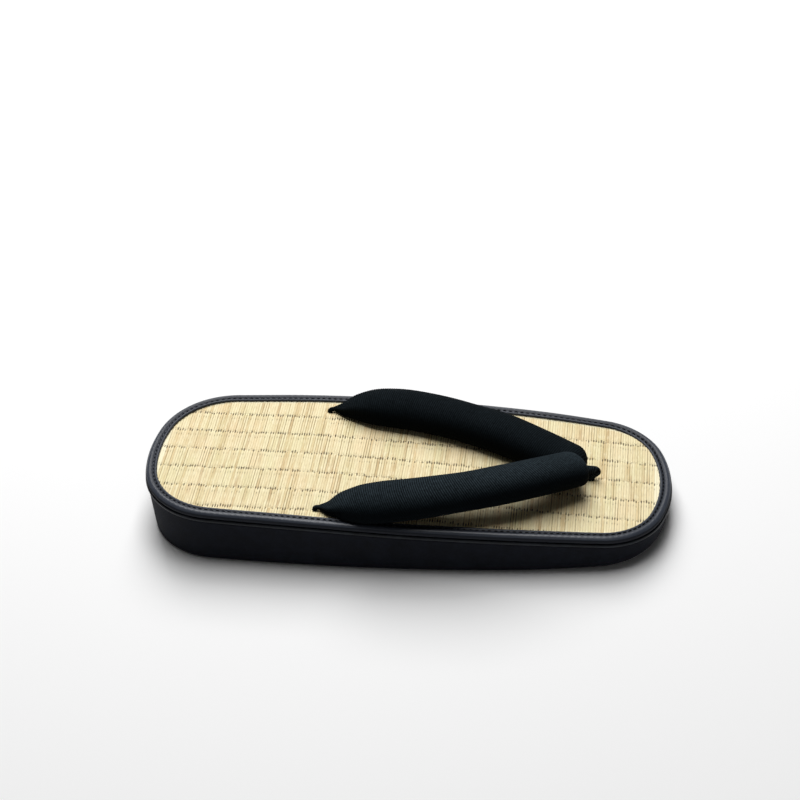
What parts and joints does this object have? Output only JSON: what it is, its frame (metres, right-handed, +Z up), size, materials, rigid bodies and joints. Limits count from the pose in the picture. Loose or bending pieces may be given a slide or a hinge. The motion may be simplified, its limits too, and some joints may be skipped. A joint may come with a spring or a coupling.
{
  "type": "zori sandal",
  "caption": "Flat zori sandal with a foam sole, thin midsole lip, bound rush mat and two padded straps that meet at a toe post.",
  "frame": {"origin": "on the floor, halfway along and halfway across the sole", "axes": "+X along the sole towards the toe, +Z up, +Y towards the side whose strap lies under the other"},
  "size_m": [0.265, 0.107, 0.0458],
  "materials": {
    "foam_sole": "fine-grained matte foam, blue-black",
    "midsole_sheet": "satin, blue-black",
    "rush": "woven rush, dry pale straw with a soft sheen",
    "binding_leather": "satin synthetic leather, blue-black",
    "strap_cloth": "ribbed black cloth over padding, matte",
    "post_cloth": "black cloth, matte"
  },
  "bodies": {
    "root": {"outsole": "foam_sole", "midsole": "midsole_sheet", "mat_insole": "rush", "edge_binding": "binding_leather", "strap_upper": "strap_cloth", "toe_post": "post_cloth"}
  },
  "joints": []
}
